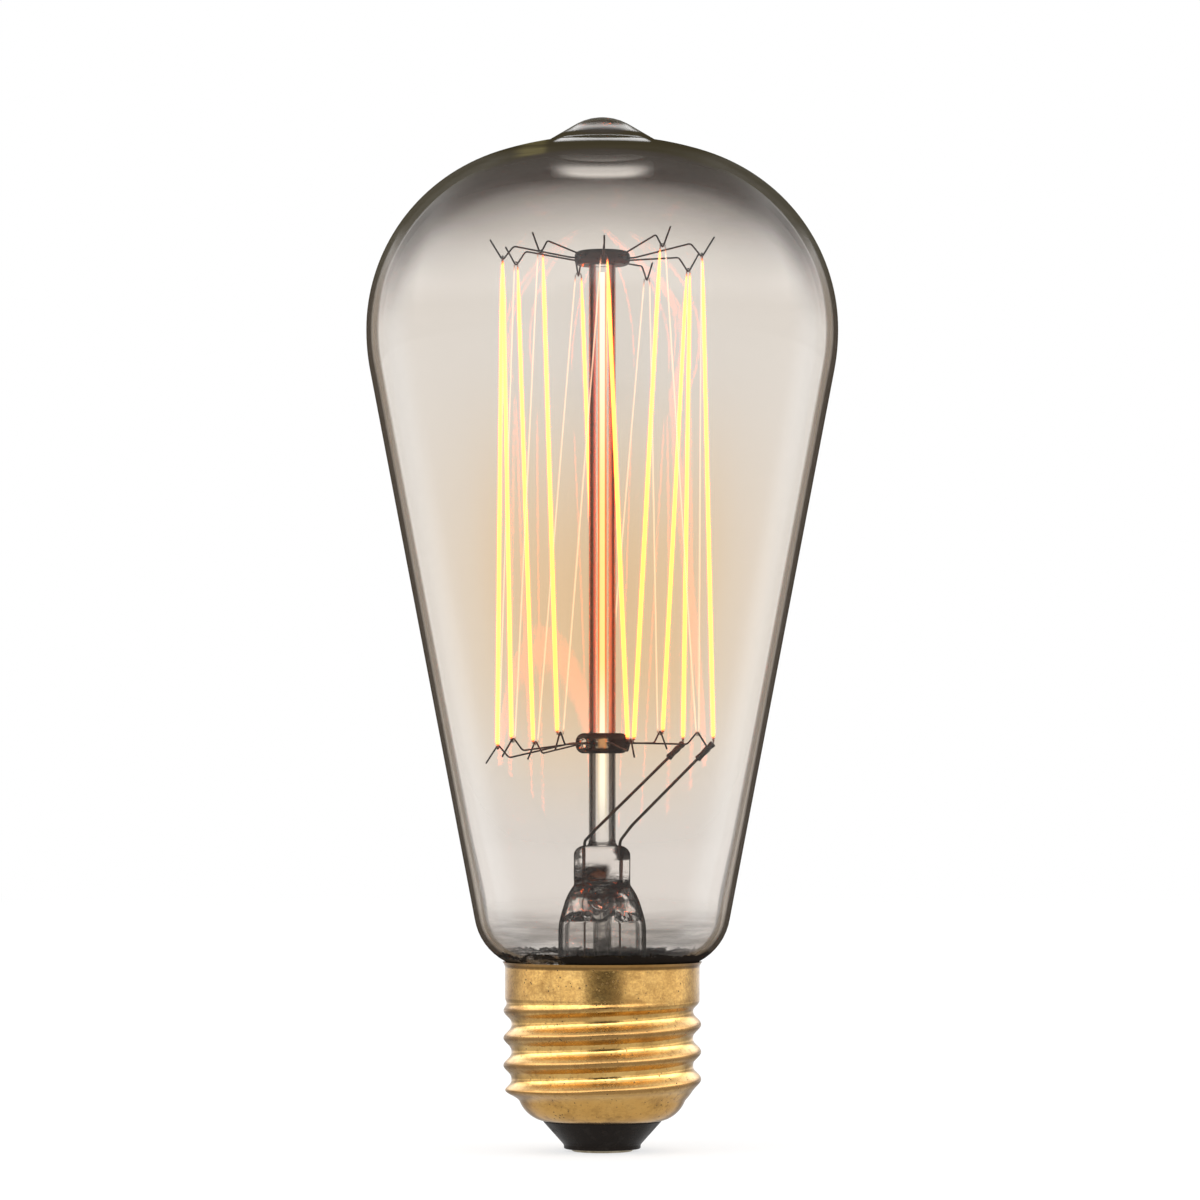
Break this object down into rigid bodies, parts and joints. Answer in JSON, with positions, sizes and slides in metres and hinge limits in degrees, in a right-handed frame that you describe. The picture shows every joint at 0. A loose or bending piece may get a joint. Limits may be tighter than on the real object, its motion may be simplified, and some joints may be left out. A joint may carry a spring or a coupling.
{
  "type": "squirrel-cage filament light bulb",
  "caption": "Tapered glass lamp with a rounded crown and a drop-shaped tip, a cage filament strung on wire hooks round a glass rod, and a brass screw cap.",
  "frame": {"origin": "middle of the centre contact's flat face, on the lamp's axis, which is where the cap seats in a lampholder", "axes": "+Z along the lamp's axis from the centre contact to the glass tip; the picture was taken from the -Y side with +X to its right"},
  "size_m": [0.0632, 0.063, 0.138],
  "materials": {
    "bulb_glass": "clear blown glass with a faint smoky tint, polished",
    "stem_glass": "clear drawn glass tube and rod, fire polished",
    "hook_wire": "dark drawn molybdenum wire",
    "filament_wire": "coiled tungsten wire, glowing pale yellow",
    "lead_wire": "dark nickel-plated wire",
    "sleeve_metal": "crimped nickel tube, dulled by heat",
    "seal_wire": "copper-clad wire, reddish where the glass is sealed to it",
    "outer_lead_wire": "bare copper wire",
    "cement": "dark baked basing cement, crumbly",
    "shell_brass": "rolled brass sheet with a speckled patina",
    "insulator_glass": "black moulded glass, satin",
    "contact_metal": "pressed brass, dulled",
    "solder": "soft solder, matt grey"
  },
  "bodies": {
    "root": {"glass_bulb": "bulb_glass", "stem": "stem_glass", "exhaust_tube": "stem_glass", "rod": "stem_glass", "upper_button": "stem_glass", "lower_button": "stem_glass", "upper_hook_1": "hook_wire", "upper_hook_2": "hook_wire", "upper_hook_3": "hook_wire", "upper_hook_4": "hook_wire", "upper_hook_5": "hook_wire", "upper_hook_6": "hook_wire", "upper_hook_7": "hook_wire", "upper_hook_8": "hook_wire", "upper_hook_9": "hook_wire", "lower_hook_1": "hook_wire", "lower_hook_2": "hook_wire", "lower_hook_3": "hook_wire", "lower_hook_4": "hook_wire", "lower_hook_5": "hook_wire", "lower_hook_6": "hook_wire", "lower_hook_7": "hook_wire", "lower_hook_8": "hook_wire", "filament": "filament_wire", "left_lead": "lead_wire", "right_lead": "lead_wire", "left_sleeve": "sleeve_metal", "right_sleeve": "sleeve_metal", "left_seal_wire": "seal_wire", "right_seal_wire": "seal_wire", "rim_lead": "outer_lead_wire", "contact_lead": "outer_lead_wire", "cement": "cement", "screw_shell": "shell_brass", "rim_solder": "solder", "insulator": "insulator_glass", "contact": "contact_metal", "contact_solder": "solder"}
  },
  "joints": []
}
